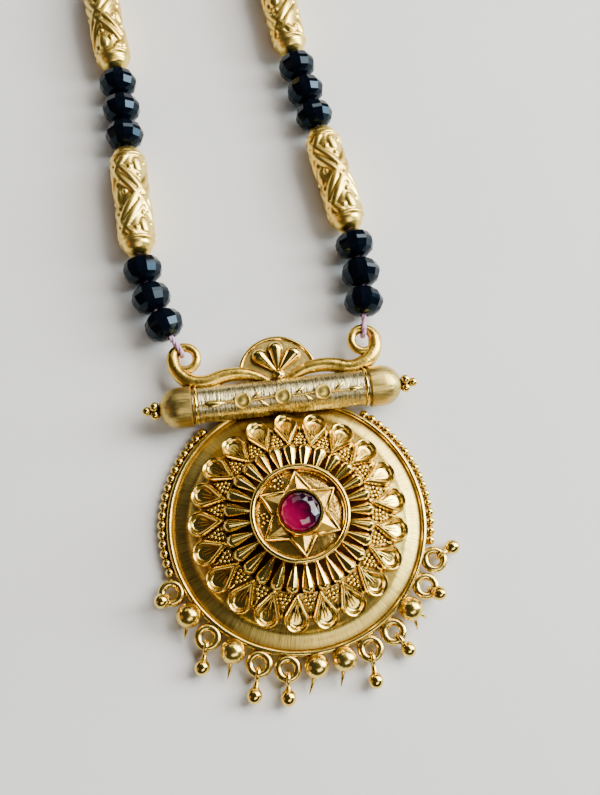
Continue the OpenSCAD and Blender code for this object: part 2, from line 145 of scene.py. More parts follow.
def newFinish(name, constants):
    finish = bpy.data.materials.new(name)
    finish.use_nodes = True
    finish.node_tree.nodes.clear()
    tree = Tree(finish.node_tree, "ShaderNode")
    shader = finish.node_tree.nodes.new("ShaderNodeBsdfPrincipled")
    for socket, value in constants.items():
        shader.inputs[socket].default_value = value
    output = finish.node_tree.nodes.new("ShaderNodeOutputMaterial")
    finish.node_tree.links.new(shader.outputs[0], output.inputs[0])
    place = tree.add("TexCoord", out="Object")
    fromMiddle = tree.add("VectorMath", {0: place, 1: (discMiddle.x, discMiddle.y, 0)}, operation="SUBTRACT")
    return finish, tree, shader, fromMiddle


def noise(tree, place, scale, detail=2, roughness=0.5):
    return tree.add("TexNoise", {"Vector": place, "Scale": scale, "Detail": detail, "Roughness": roughness})


# Sets what varies over a surface: sockets by name, and the height that its bump follows
def vary(tree, shader, varying, height=None, strength=1.0, depth=0.0):
    for socket, value in varying.items():
        tree.put(shader.inputs[socket], value)
    if height:
        bump = tree.add("Bump", {"Strength": strength, "Distance": depth * mm, "Height": height})
        tree.put(shader.inputs["Normal"], bump)


# Paints shade into a metal's corners, partly its patina and partly painted shade: where ambient occlusion finds a
# corner, the colour turns to the darker corner colour. It also lets its fine marks rule the roughness and the bump
def paintShadeAndMarks(tree, shader, look, face, marks):
    openness = tree.add("AmbientOcclusion", {"Distance": look["cornerReach"] * mm}, out="AO", samples=8)
    lit = (openness * look["cornerGain"]).maths("MINIMUM", 1.0) ** look["cornerPower"]
    roughness = look["rough"] + marks * look["roughSpread"]
    varying = {"Base Color": tree.blend(lit, look["corner"], face), "Roughness": roughness}
    vary(tree, shader, varying, marks, look["bump"], look["bumpDepth"])


# Each gold's corner colour is painted into its corners: partly patina, partly painted shade
castGold = {
    "warm": (0.80, 0.48, 0.055), "pale": (1.0, 0.78, 0.20), "corner": (0.12, 0.05, 0.009),
    "cloudScale": 190, "grainScale": 2600, "cornerReach": 0.6, "cornerGain": 1.2, "cornerPower": 1.4,
    "rough": 0.09, "roughSpread": 0.13, "bump": 0.3, "bumpDepth": 0.015}
metal = {"Metallic": 1.0, "IOR": 1.5}


# Gold that is bright on its high parts and dark brown in its corners, where the brown is partly patina and partly
# painted shade
def goldFinish(name, **changes):
    look = castGold | changes
    finish, tree, shader, place = newFinish(name, metal)
    cloud = noise(tree, place, look["cloudScale"], 3)
    grain = noise(tree, place, look["grainScale"], 3, 0.6)
    paintShadeAndMarks(tree, shader, look, tree.blend(cloud, look["warm"], look["pale"]), grain)
    return finish


polished = goldFinish("polishedGold")
petalGold = goldFinish(
    "petalGold", corner=(0.20, 0.07, 0.01), cornerReach=0.4, rough=0.14, roughSpread=0.12, bump=0.4,
    bumpDepth=0.02)
handGold = goldFinish("handWorkedGold", grainScale=1100, rough=0.12, roughSpread=0.2, bump=0.5, bumpDepth=0.06)
seedGold = goldFinish(
    "seedGold", corner=(0.30, 0.11, 0.015), cornerReach=0.4, rough=0.11, roughSpread=0.1, bump=0.4,
    bumpDepth=0.02)
cupGold = goldFinish(
    "cupGold", warm=(0.66, 0.35, 0.045), pale=(0.96, 0.66, 0.16), grainScale=620, rough=0.15, roughSpread=0.15,
    bump=0.8, bumpDepth=0.14)
starGold = goldFinish(
    "starGold", warm=(0.86, 0.46, 0.05), pale=(1.0, 0.70, 0.16), grainScale=800, rough=0.2, roughSpread=0.2,
    bump=0.8, bumpDepth=0.08)
scrollGold = goldFinish(
    "scrollGold", warm=(0.74, 0.44, 0.05), pale=(0.92, 0.64, 0.11), grainScale=850, rough=0.18, roughSpread=0.2,
    bump=0.8, bumpDepth=0.1)
reliefGold = goldFinish(
    "reliefGold", warm=(0.90, 0.54, 0.06), pale=(1.0, 0.78, 0.22), corner=(0.18, 0.075, 0.01), cornerPower=1.5,
    grainScale=1400, rough=0.22, roughSpread=0.16, bump=0.4, bumpDepth=0.03)
ground = goldFinish(
    "texturedGold", warm=(0.62, 0.38, 0.06), pale=(0.90, 0.68, 0.22), corner=(0.16, 0.07, 0.012), grainScale=1500,
    rough=0.26, bump=0.7, bumpDepth=0.06)
studGold = goldFinish(
    "studGold", warm=(0.90, 0.60, 0.10), corner=(0.24, 0.11, 0.015), grainScale=1500, rough=0.24, bump=0.5,
    bumpDepth=0.03)
# Near-black gold for the channel under the slim petals: painted shade for the deep gaps between them
paintedShadeGold = goldFinish(
    "paintedShadeGold", warm=(0.16, 0.07, 0.01), pale=(0.30, 0.15, 0.03), corner=(0.012, 0.004, 0.001), cornerReach=2.2,
    rough=0.3, bump=0.5)
wireGold = goldFinish("wireGold", corner=(0.40, 0.20, 0.04), cornerReach=0.5, rough=0.14, bump=0.2)

# The corner colour below is painted into the corners: partly patina, partly painted shade
bandBrush = {
    "strokes": "radial", "fineness": 140, "strokeScale": 330, "contrast": 3.0, "strokeShare": 0.55,
    "cloudScale": 150, "dark": (0.24, 0.14, 0.03), "pale": (0.92, 0.70, 0.17), "corner": (0.16, 0.07, 0.012),
    "cornerReach": 0.8, "cornerGain": 1.0, "cornerPower": 1.4, "rough": 0.29, "roughSpread": 0.05, "bump": 0.3,
    "bumpDepth": 0.05}


# Gold brushed in short strokes: out from the middle, or round the tube
def brushedFinish(name, **changes):
    look = bandBrush | changes
    finish, tree, shader, place = newFinish(name, metal)
    x, y, z = tree.parts(place)
    if look["strokes"] == "radial":
        away = tree.add("VectorMath", {0: tree.vector(x, y, 0.0)}, out=1, operation="LENGTH")
        along = tree.vector(x / away * look["fineness"], y / away * look["fineness"], away * look["strokeScale"])
    else:
        along = tree.vector(x * look["fineness"], y * look["strokeScale"], z * look["strokeScale"])
    strokes = ((noise(tree, along, 1.0, 3, 0.62) - 0.5) * look["contrast"] + 0.5).clamped()
    shade = noise(tree, place, look["cloudScale"]) * (1 - look["strokeShare"]) + strokes * look["strokeShare"]
    paintShadeAndMarks(tree, shader, look, tree.blend(shade, look["dark"], look["pale"]), strokes)
    return finish


satinBand = brushedFinish("radialSatinGold")
tubeBrush = brushedFinish(
    "tubeSatinGold", strokes="round", fineness=2900, strokeScale=420, contrast=1.5, dark=(0.20, 0.14, 0.045),
    pale=(1.0, 0.86, 0.44), rough=0.2, roughSpread=0.16, bump=0.9, bumpDepth=0.16)
domeBrush = brushedFinish(
    "domeSatinGold", strokes="round", fineness=500, strokeScale=2900, contrast=2.6, dark=(0.26, 0.16, 0.035),
    pale=(0.86, 0.64, 0.18), rough=0.3, roughSpread=0.1, bump=0.5, bumpDepth=0.06)


# Black glass whose upper faces mirror the light, and whose sides stay black
def crystalFinish(look):
    finish, tree, shader, place = newFinish("blackCrystal", {
        "IOR": look["ior"], "Coat Roughness": 0.02, "Specular IOR Level": look["sideGloss"],
        "Specular Tint": look["glint"]})
    smear = noise(tree, place, look["smearScale"])
    upwards = tree.parts(tree.add("NewGeometry", out="Normal"))[2].maths("MAXIMUM", 0.0)
    vary(tree, shader, {
        "Base Color": tree.blend(smear, look["deep"], look["blue"]), "Roughness": look["rough"] + smear * 0.05,
        "Coat Weight": upwards ** 2 * look["topGloss"]})
    return finish


blackCrystal = crystalFinish({
    "deep": (0.0008, 0.0008, 0.001), "blue": (0.002, 0.004, 0.009), "smearScale": 900, "ior": 1.5, "rough": 0.05,
    "sideGloss": 0.14, "topGloss": 0.26, "glint": (0.30, 0.72, 1.0, 1.0)})


# Red glass with painted light: its colour and an emitted glow are painted bright on the side where light comes
# back out of it (left and lower), and dark on the other
def rubyFinish(look):
    finish, tree, shader, place = newFinish("rubyGlass", {
        "IOR": look["ior"], "Coat Roughness": 0.03, "Emission Strength": look["paintedGlowStrength"]})
    x, y, z = tree.parts(place)
    facets = {"Vector": place, "Scale": look["facetScale"], "Randomness": 0.7}
    shade = tree.parts(tree.add("TexVoronoi", facets, out="Color", feature="F1"))[0]
    across = (x + y * look["glowLean"]) / (stoneHigh.x - stoneLow.x)
    glow = (look["glowStart"] - across * look["glowFall"]) + (shade - 0.5) * look["glowBreak"]
    glow = glow.clamped() ** look["glowPower"]
    vary(tree, shader, {
        "Base Color": tree.blend(glow, look["deep"], look["bright"]), "Roughness": 0.04 + shade * 0.04,
        "Coat Weight": 0.03 + shade * 0.12, "Emission Color": tree.blend(glow, (0.0, 0.0, 0.0), look["inner"])})
    return finish


# The stone's glow colour and strength and its bright colour are painted light: the stone glows though it is no
# lamp
rubyGlass = rubyFinish({
    "deep": (0.010, 0.0, 0.006), "bright": (0.14, 0.0, 0.022), "inner": (0.9, 0.0, 0.13), "paintedGlowStrength": 0.36,
    "glowStart": 0.38, "glowLean": 0.5, "glowFall": 1.9, "glowBreak": 0.5, "glowPower": 1.5, "ior": 1.6,
    "facetScale": 520})


def threadFinish(dark, pale):
    finish, tree, shader, place = newFinish("pinkThread", {"Sheen Weight": 0.5, "Sheen Roughness": 0.4})
    fibres = noise(tree, place, 5200, 3, 0.7)
    varying = {"Base Color": tree.blend(fibres, dark, pale), "Roughness": 0.7 + fibres * 0.2}
    vary(tree, shader, varying, fibres, 0.6, 0.04)
    return finish


pinkThread = threadFinish((0.38, 0.13, 0.27), (0.80, 0.52, 0.72))
print("materials ready")


# Shapes

# A bmesh filled from the mesh or from the sources, and written to the mesh at the end
@contextmanager
def reworked(mesh, *sources):
    work = bmesh.new()
    for source in sources or (mesh,):
        work.from_mesh(source)
    yield work
    work.to_mesh(mesh)
    work.free()


class Shape:  # loose points and faces, before they become a mesh
    def __init__(self, points, faces):
        self.points, self.faces = np.array(points, float).reshape(-1, 3), [tuple(face) for face in faces]

    def __add__(self, other):
        shift = len(self.points)
        faces = self.faces + [tuple(i + shift for i in face) for face in other.faces]
        return Shape(np.vstack((self.points, other.points)), faces)

    def moved(self, x=0, y=0, z=0, turn=0, tilt=0, roll=0):
        matrix = np.array(Matrix.Translation((x, y, z)) @ Matrix.Rotation(radians(turn), 4, "Z")
                          @ Matrix.Rotation(radians(tilt), 4, "Y") @ Matrix.Rotation(radians(roll), 4, "X"))
        return Shape(self.points @ matrix[:3, :3].T + matrix[:3, 3], self.faces)

    def mirrored(self):
        return Shape(self.points * (-1, 1, 1), [face[::-1] for face in self.faces])

    def mesh(self, name, smooth=40):
        mesh = bpy.data.meshes.new(name)
        mesh.from_pydata(self.points.tolist(), [], self.faces)
        with reworked(mesh) as work:
            bmesh.ops.remove_doubles(work, verts=work.verts, dist=0.0004)
            bmesh.ops.recalc_face_normals(work, faces=work.faces)
        if smooth:
            mesh.shade_smooth()
            mesh.set_sharp_from_angle(angle=radians(smooth))
        else:
            mesh.shade_flat()
        return mesh


def total(shapes):
    return reduce(add, shapes)


def tell(count, first=0):  # a face over points that follow each other
    return tuple(range(first, first + count))


# Quads between rows of points; each row is a ring, and the rows may join round too
def rowsToShape(rows, rowsClosed=False):
    rows = np.array(rows, float)
    count, around = rows.shape[:2]
    faces = []
    for i in range(count if rowsClosed else count - 1):
        a, b = i * around, ((i + 1) % count) * around
        faces += [(a + k, a + (k + 1) % around, b + (k + 1) % around, b + k) for k in range(around)]
    return Shape(rows.reshape(-1, 3), faces)


def roundSection(sides=12, flat=1.0):  # across and up, for a radius of 1
    return [(cos(a), sin(a) * flat) for a in np.arange(sides) * 2 * pi / sides]


def turned(profile, steps=160, closed=False):  # a profile of [radius, height], turned about Z
    rows = [[(r * x, r * y, z) for x, y in roundSection(steps)] for r, z in profile]
    return rowsToShape(rows, closed)


def circle(r, z, radius, steps=14):  # a wire's round section, as a profile
    return [(r + radius * x, z + radius * y) for x, y in roundSection(steps)]


def wireRing(diameter, wire, steps=48, around=12):
    return turned(circle(diameter / 2, 0, wire / 2, around), steps, True)


# A rod along points with a radius at each; its ends are rounded off unless it is closed
def rod(points, radii, section=roundSection(), up=(0, 0, 1), closed=False):
    points, up = np.array(points, float), np.array(up, float)
    radii = np.broadcast_to(np.array(radii, float), len(points))
    ways = (np.roll(points, -1, 0) - np.roll(points, 1, 0)) if closed else np.gradient(points, axis=0)
    ways = ways / np.linalg.norm(ways, axis=1)[:, None]
    stations = list(zip(points, ways, radii))
    if not closed:
        bends = [radians(a) for a in (25, 50, 75, 89.5)]
        head = [(points[0] - ways[0] * radii[0] * sin(a), ways[0], radii[0] * cos(a)) for a in bends[::-1]]
        tail = [(points[-1] + ways[-1] * radii[-1] * sin(a), ways[-1], radii[-1] * cos(a)) for a in bends]
        stations = head + stations + tail
    rows = []
    for point, way, radius in stations:
        side = np.cross(way, up)
        side /= np.linalg.norm(side)
        over = np.cross(side, way)
        rows.append([point + radius * (side * across + over * high) for across, high in section])
    shape = rowsToShape(rows, closed)
    if not closed:
        shape.faces += [tell(len(section)), tell(len(section), len(shape.points) - len(section))]
    return shape


def ball(radius, around=24, rings=14, stretch=1.0):
    angles = np.linspace(-pi / 2, pi / 2, rings + 1)
    profile = [(radius * cos(a) if abs(a) < 1.57 else 0, radius * sin(a) * stretch) for a in angles]
    return turned(profile, around)


def arc(middle, radius, first, last, count, z):
    spread = np.radians(np.linspace(first, last, count))
    return [(middle[0] + radius * cos(a), middle[1] + radius * sin(a), z) for a in spread]


# Makes a finished piece of a shape or a mesh; the names last are the CAD nodes that it stands for
def settle(name, form, finish, slot="gold", *stoodFor, smooth=40):
    mesh = form.mesh(name, smooth) if isinstance(form, Shape) else form
    piece = newObject(name, mesh)
    mesh.name = name
    mesh.transform(inPlace)
    coat(mesh, finish)
    if stoodFor:
        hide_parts(*stoodFor)
    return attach(piece, "root")


# Geometry Nodes trees

def newGrower(name, sockets):
    group = bpy.data.node_groups.new(name, "GeometryNodeTree")
    group.interface.new_socket("Geometry", in_out="OUTPUT", socket_type="NodeSocketGeometry")
    for label, kind in (("Geometry", "Geometry"), *sockets.items()):
        group.interface.new_socket(label, in_out="INPUT", socket_type="NodeSocket" + kind)
    tree = Tree(group, "GeometryNode")
    entry = group.nodes.new("NodeGroupInput")
    return tree, {output.name: Link(tree, output) for output in entry.outputs if output.name}


def endGrower(tree, geometry, finish):
    real = tree.add("RealizeInstances", {"Geometry": geometry})
    done = tree.add("SetMaterial", {"Geometry": real, "Material": finish})
    tree.put(tree.group.nodes.new("NodeGroupOutput").inputs[0], done)
    return tree.group


# A piece repeated on an arc about the middle, each a little different from the next
def ringGrower():
    tree, given = newGrower("ringOfPieces", {
        "Piece": "Object", "Count": "Int", "First": "Float", "Sweep": "Float", "Radius": "Float",
        "Height": "Float", "Uneven": "Float", "Seed": "Int", "Finish": "Material"})
    uneven, seed = given["Uneven"], given["Seed"]
    angle = given["First"] + tree.add("InputIndex") * given["Sweep"] / given["Count"]
    place = tree.spot(given["Radius"], angle, given["Height"])
    points = tree.add("Points", {"Count": given["Count"], "Position": place})
    size = tree.random(1 - uneven, 1 + uneven, seed)
    turn = tree.random(uneven * -0.5, uneven * 0.5, seed + 7)
    copies = tree.copies(points, given["Piece"], tree.vector(0.0, 0.0, angle + turn), size)
    return endGrower(tree, copies, given["Finish"])


# A piece set on each point of a mesh and turned by the point's own angles
def spotGrower():
    tree, given = newGrower("pieceOnSpots", {"Piece": "Object", "Finish": "Material"})
    turn = tree.add("InputNamedAttribute", {"Name": "turn"}, data_type="FLOAT_VECTOR")
    return endGrower(tree, tree.copies(given["Geometry"], given["Piece"], turn), given["Finish"])


# Plies laid round a path and twisted together
def threadGrower():
    tree, given = newGrower("twistedPlies", {
        "Ply radius": "Float", "Ply offset": "Float", "Plies": "Int", "Step": "Float", "Twist": "Float",
        "Finish": "Material"})
    path = tree.add("MeshToCurve", {"Mesh": given["Geometry"]})
    path = tree.add("ResampleCurve", {"Curve": path, "Length": given["Step"]}, mode="LENGTH")
    path = tree.add("SetCurveTilt", {"Curve": path, "Tilt": tree.add("InputIndex") * given["Twist"]})
    spot = tree.spot(given["Ply offset"], tree.add("InputIndex") * (2 * pi) / given["Plies"])
    spots = tree.add("Points", {"Count": given["Plies"], "Position": spot})
    ply = tree.add("CurvePrimitiveCircle", {"Resolution": 7, "Radius": given["Ply radius"]})
    plies = tree.add("InstanceOnPoints", {"Points": spots, "Instance": ply})
    plies = tree.add("RealizeInstances", {"Geometry": plies})
    body = tree.add("CurveToMesh", {"Curve": path, "Profile Curve": plies, "Fill Caps": True})
    return endGrower(tree, body, given["Finish"])


ringOfPieces, pieceOnSpots, twistedPlies = ringGrower(), spotGrower(), threadGrower()


# Runs a tree and gives the plain mesh that it makes
def grow(group, values, base=None):
    holder = newObject("holder", base or bpy.data.meshes.new("holder"))
    sources = []
    modifier = holder.modifiers.new("grow", "NODES")
    modifier.node_group = group
    for item in group.interface.items_tree:
        if item.in_out == "INPUT" and item.name in values:
            value = values[item.name]
            if isinstance(value, bpy.types.Mesh):
                value = newObject("source", value)
                sources.append(value)
            modifier[item.identifier] = value
    depsgraph = bpy.context.evaluated_depsgraph_get()
    mesh = bpy.data.meshes.new_from_object(holder.evaluated_get(depsgraph), depsgraph=depsgraph)
    for used in (holder, *sources):
        bpy.data.objects.remove(used)
    return mesh


# One shape repeated round the disc's middle and settled as one piece.
# Settings with a capital go to the tree's inputs of that name.
def settleRound(name, shape, finish, look, smooth=40):
    values = {"Piece": shape.mesh("source", smooth), "First": pi / 2, "Sweep": -2 * pi, "Finish": finish} | look
    settle(name, grow(ringOfPieces, values), finish)


# The disc: radii from the middle outwards and heights from the back upwards, in millimetres
disc = {
    "cup": 6.8, "slim": 10.4, "petals": 15.0, "band": 17.7, "edge": 18.6,
    "foot": 1.0, "plateZ": 1.3, "bandZ": 1.5, "bandTopZ": 2.72, "petalsZ": 2.9, "slimZ": 4.9, "rimZ": 8.8,
    "dishZ": 8.1, "borderWire": 0.84, "granule": 1.44}
cup, slim, petals, band, edge, foot, plateZ, bandZ, bandTopZ, petalsZ, slimZ, rimZ, dishZ, borderWire, granule = (
    disc.values())
slope = (slimZ - petalsZ) / (petals - slim)

settle("back_plate", turned([
    (0, 0), (edge - 0.25, 0), (edge, 0.22), (edge, plateZ - 0.15), (edge - 0.12, plateZ),
    (band - 0.1, plateZ + 0.05), (0, plateZ + 0.05)], 180), wireGold, "gold", "pendant")
settle("satin_band", turned([
    (band + 0.02, foot), (band + 0.02, bandZ - 0.04), (band - 0.06, bandZ + 0.03), (petals + 1.5, bandZ + 0.30),
    (petals + 1.0, bandZ + 0.46), (petals + 0.65, bandZ + 0.62), (petals + 0.35, bandZ + 0.86),
    (petals + 0.1, bandTopZ - 0.02), (petals - 0.85, bandTopZ + 0.44), (petals - 0.9, foot)], 240, True),
    satinBand, smooth=30)
settle("petal_ground", turned([
    (petals - 0.7, foot), (petals - 0.7, bandTopZ + 0.3), (petals - 0.8, bandTopZ + 0.42), (slim, slimZ - 0.02),
    (slim - 0.25, slimZ - 0.4), (slim - 0.3, foot)], 200, True), ground)
# The channel is painted near black: painted shade between the seeds
settle("slim_petal_channel", turned([
    (slim - 0.2, foot), (slim - 0.2, slimZ - 0.45), (slim - 0.9, slimZ - 0.95), (cup - 0.4, slimZ - 0.8),
    (cup - 0.4, foot)], 160, True), paintedShadeGold)
settle("border_wire", turned(circle(band + 0.45, plateZ + 0.25, borderWire / 2), 220, True), wireGold)

# Half of the granules run up the right side from the first angle, and half up the left side
rim = {
    "first": -14.2, "pitch": 4.09, "Count": 17, "Radius": edge + granule / 2 - 0.12, "Height": granule / 2 + 0.02,
    "Uneven": 0.035, "Piece": ball(granule / 2, 14, 9).mesh("rimGrain"), "Finish": polished}
rimSides = [grow(ringOfPieces, rim | {
    "First": radians(first), "Sweep": radians(way * rim["pitch"] * rim["Count"]), "Seed": seed})
    for first, way, seed in ((rim["first"], 1, 3), (180 - rim["first"], -1, 8))]
rimMesh = bpy.data.meshes.new("rimGranules")
with reworked(rimMesh, *rimSides):  # both sides in one mesh, as they are
    pass
settle("rim_granules", rimMesh, polished)
print("disc ready")

# A teardrop petal: a wide raised outline, and a low mound inside it with fine ridges along it.
# Heights go with the distance in from the outline, then with the share that is left of the inner teardrop.
petal = {
    "Count": 21, "Uneven": 0.025, "Seed": 5, "bulb": 1.9, "tip": 0.2, "reach": 3.75,
    "outline": [(0.0, 0.1), (0.05, 0.5), (0.16, 0.84), (0.34, 1.02), (0.52, 0.94), (0.7, 0.6), (0.84, 0.3)],
    "inside": [(0.85, 0.2), (0.6, 0.17), (0.35, 0.17), (0.15, 0.18), (0.0, 0.18)],
    "ridges": [(-0.26, 0.3, -2.9), (0.2, 0.1, -2.2)], "foot": -0.7}


def teardrop(look):
    bulb, tip, reach = look["bulb"], look["tip"], look["reach"]
    lean = acos((tip - bulb) / reach)
    line = [(0.0, a, bulb) for a in np.linspace(-lean, lean, 23)]
    line += [(t, lean, bulb + (tip - bulb) * t) for t in np.linspace(0.1, 0.9, 8)]
    line += [(1.0, a, tip) for a in np.linspace(lean, 2 * pi - lean, 5)]
    line += [(t, -lean, bulb + (tip - bulb) * t) for t in np.linspace(0.9, 0.1, 8)]
    insets, heights = zip(*look["outline"])

    def at(t, a, radius, z):
        return (radius * cos(a) - reach * t, radius * sin(a), z)

    rows = [[at(t, a, radius, look["foot"]) for t, a, radius in line]]
    for inset in insets:
        rows.append([at(t, a, max(radius - inset, 0), np.interp(min(inset, radius), insets, heights))
                     for t, a, radius in line])
    for share, height in look["inside"]:
        row = []
        for (t, a, radius), (x, y, z) in zip(line, rows[len(insets)]):
            left = max(radius - insets[-1], 0)
            row.append(at(t, a, left * share, z + (height - heights[-1]) * min(left / 0.5, 1)))
        rows.append(row)
    shape = rowsToShape(rows)
    shape.faces.append(tell(len(line)))
    return shape


petalX = petals - petal["bulb"] + 0.62
petalShape = teardrop(petal)
for aside, first, last in petal["ridges"]:
    line = [(first, aside, 0.16), ((first + last) / 2, aside * 0.7, 0.26), (last, aside * 0.3, 0.3)]
    petalShape += rod(line, [0.08, 0.17, 0.1], roundSection(6))
petalShape = petalShape.moved(tilt=np.degrees(np.arctan(slope)))
petalPlace = {"Radius": petalX, "Height": slimZ - (petalX - slim) * slope}
settleRound("teardrop_petals", petalShape, petalGold, petal | petalPlace, 65)

# Rows of little grains between two petals, fewer in the outer rows, and a long grain beyond them
grains = {
    "Count": petal["Count"], "First": pi / 2 + pi / petal["Count"], "Uneven": 0.004, "Seed": 2, "size": 0.6,
    "rows": [(0.42, 3), (0.94, 3), (1.42, 2), (1.9, 1)], "pitch": 0.6, "long": (2.35, 0.85)}
grainBall = ball(grains["size"] / 2, 10, 6)
cluster = total(grainBall.moved(slim + away, (k - (row - 1) / 2) * grains["pitch"], slimZ - away * slope + 0.14)
                for away, row in grains["rows"] for k in range(row))
outwards, length = grains["long"]
line = [(slim + outwards + length * t, 0, slimZ - (outwards + length * t) * slope + 0.12) for t in (0, 0.5, 1)]
cluster += rod(line, [0.14, 0.24, 0.3], roundSection(8))
settleRound("petal_grains", cluster, polished, grains)

# Slim petals: glossy seeds with a keel, which swell outwards and narrow under the cup
slimPetal = {
    "Count": 28, "Radius": slim, "Height": slimZ, "Uneven": 0.02, "Seed": 11, "swell": 1.0, "length": 4.8,
    "rise": 0.9, "lift": 0.42, "out": 0.25}
keelSide = [(1.0, -0.1), (0.98, 0.22), (0.86, 0.54), (0.66, 0.78), (0.42, 0.95), (0.2, 1.08)]
keelSection = keelSide + [(0, 1.2)] + [(-x, y) for x, y in keelSide[::-1]] + [(-0.8, -0.6), (0, -0.9), (0.8, -0.6)]
swell, run = slimPetal["swell"], slimPetal["length"] - slimPetal["swell"] * 2 + 0.4
steps = np.linspace(0, 1, 15)
line = [(slimPetal["out"] - swell - (1 - t) * run, 0, slimPetal["lift"] + slimPetal["rise"] * (1 - t))
        for t in steps]
slimShape = rod(line, [0.1 + (swell - 0.1) * t ** 0.78 for t in steps], keelSection)
settleRound("slim_petals", slimShape, seedGold, slimPetal, 85)
print("petals ready")

# The cup, the bezel, the star and the stone
bezel = {"stone": 5.4, "gap": 0.05, "wall": 0.4, "height": 1.9, "seat": 0.99}
stoneR = bezel["stone"] / 2
bezelR = stoneR + bezel["gap"] + bezel["wall"]
bezelTop, seatZ = dishZ + bezel["height"], dishZ + bezel["seat"] - 0.08
settle("cup", turned([
    (0, 3.0), (cup - 0.1, 3.0), (cup, rimZ - 0.1), (cup - 0.12, rimZ), (cup - 0.5, rimZ), (cup - 0.6, rimZ - 0.12),
    (cup - 0.68, dishZ - 0.32), (cup - 0.8, dishZ - 0.4), (bezelR + 0.1, dishZ + 0.1), (0, dishZ + 0.1)]), cupGold)
settle("cup_rim", turned(circle(cup - 0.28, rimZ, 0.345), 160, True), polished)
settle("bezel", turned([
    (bezelR - 0.45, dishZ - 0.2), (bezelR + 0.24, dishZ - 0.2), (bezelR + 0.2, dishZ + 0.25),
    (bezelR + 0.05, dishZ + 0.42), (bezelR, dishZ + 0.7), (bezelR, bezelTop - 0.12), (bezelR - 0.08, bezelTop),
    (bezelR - 0.3, bezelTop + 0.02), (bezelR - 0.4, bezelTop - 0.1), (bezelR - 0.4, seatZ),
    (bezelR - 0.45, seatZ)], 96, True), polished)

# The star: each of its points has a ridge that rises towards the bezel
star = {
    "Count": 6, "First": 0.0, "Sweep": 2 * pi, "Uneven": 0.03, "Seed": 9, "outer": 5.85, "inner": 3.7,
    "heart": bezelR - 0.25, "wall": 0.27, "height": 0.16, "ridge": 0.36, "grains": 16, "grain": 0.17}
starTop, corners = dishZ + star["height"], star["Count"] * 2
starLow, starHigh, starHeart = [], [], []
for i in range(corners):
    a = radians(30 * i + 90)
    r, rise = (star["outer"], star["ridge"]) if i % 2 == 0 else (star["inner"], 0.04)
    starLow.append((r * cos(a), r * sin(a), dishZ - 0.5))
    starHigh.append((r * cos(a), r * sin(a), starTop))
    starHeart.append((star["heart"] * cos(a), star["heart"] * sin(a), starTop + rise))
starPlate = rowsToShape([starLow, starHigh, starHeart])
starPlate.faces += [tell(corners), tell(corners, corners * 2)]
settle("star_plate", starPlate, starGold, smooth=10)
walls = []
for here, there in zip(starHigh, starHigh[1:] + starHigh[:1]):
    middle = ((here[0] + there[0]) / 2 * 0.985, (here[1] + there[1]) / 2 * 0.985, starTop + 0.06)
    walls.append(rod([here, middle, there], [0.23, star["wall"], 0.22], roundSection(12, 1.2)))
settle("star_walls", total(walls), polished, smooth=60)
fieldRandom = np.random.default_rng(4)
fieldGrains = []
while len(fieldGrains) < star["grains"]:
    away, aside = fieldRandom.uniform(4.1, 5.8), fieldRandom.uniform(-1.9, 1.9)
    reach = np.hypot(away, aside)
    if abs(aside) < away - 3.9 and reach < 5.75:
        fieldGrains.append(ball(star["grain"], 8, 5).moved(away, aside, dishZ + 0.12 - (reach - bezelR) * 0.19))
settleRound("star_field_grains", total(fieldGrains), polished, star)


# Triangles between rings whose corners are half a step apart, quads between rings that line up
def facetShape(rows, sides, closed=False):
    points = [(r * cos(2 * pi * (k + shift) / sides), r * sin(2 * pi * (k + shift) / sides), z)
              for r, z, shift in rows for k in range(sides)]
    faces = []
    for i in range(len(rows) if closed else len(rows) - 1):
        j = (i + 1) % len(rows)
        for k in range(sides):
            a, b = i * sides + k, i * sides + (k + 1) % sides
            c, d = j * sides + k, j * sides + (k + 1) % sides
            if rows[i][2] == rows[j][2]:
                faces.append((a, b, d, c))
            elif rows[j][2] > rows[i][2]:
                faces += [(a, b, c), (b, d, c)]
            else:
                faces += [(a, b, d), (a, d, c)]
    if not closed:
        faces += [tell(sides), tell(sides, len(points) - sides)]
    return Shape(points, faces)


# Rows of the stone: shares of its radius and of its height, and a shift by half a facet
stone = {"sides": 12, "height": 1.8, "bevel": 0.045,
         "rows": [(0.45, 0, 0), (1, 0.22, 0), (1, 0.42, 0), (0.93, 0.62, 0.5), (0.76, 0.84, 0), (0.5, 1, 0.5)]}
stoneRows = [(stoneR * r, z * stone["height"], shift) for r, z, shift in stone["rows"]]
stoneShape = facetShape(stoneRows, stone["sides"])
stoneMesh = stoneShape.moved(z=seatZ + bezel["gap"]).mesh("stone", 0)
with reworked(stoneMesh) as work:
    bmesh.ops.bevel(work, geom=work.edges[:], offset=stone["bevel"], segments=1, affect="EDGES", profile=0.5)
settle("red_stone", stoneMesh, rubyGlass, "ruby", "ruby")
print("cup and stone ready")

# The tube: its body, domes, collars, tips, studs and the vine along it
tube = {
    "y": 18.5, "z": 3.0, "radius": 2.6, "half": 13.4, "lean": 16, "dome": 3.0, "domeStraight": 1.5, "collar": 12.5,
    "collarWire": 0.56, "tipGrain": 1.42, "stud": 2.3, "studPitch": 5.85}
tubeY, tubeZ, tubeR, half, lean = (tube[key] for key in ("y", "z", "radius", "half", "lean"))


def lyingAlongX(shape):
    return shape.moved(tilt=90).moved(y=tubeY, z=tubeZ)


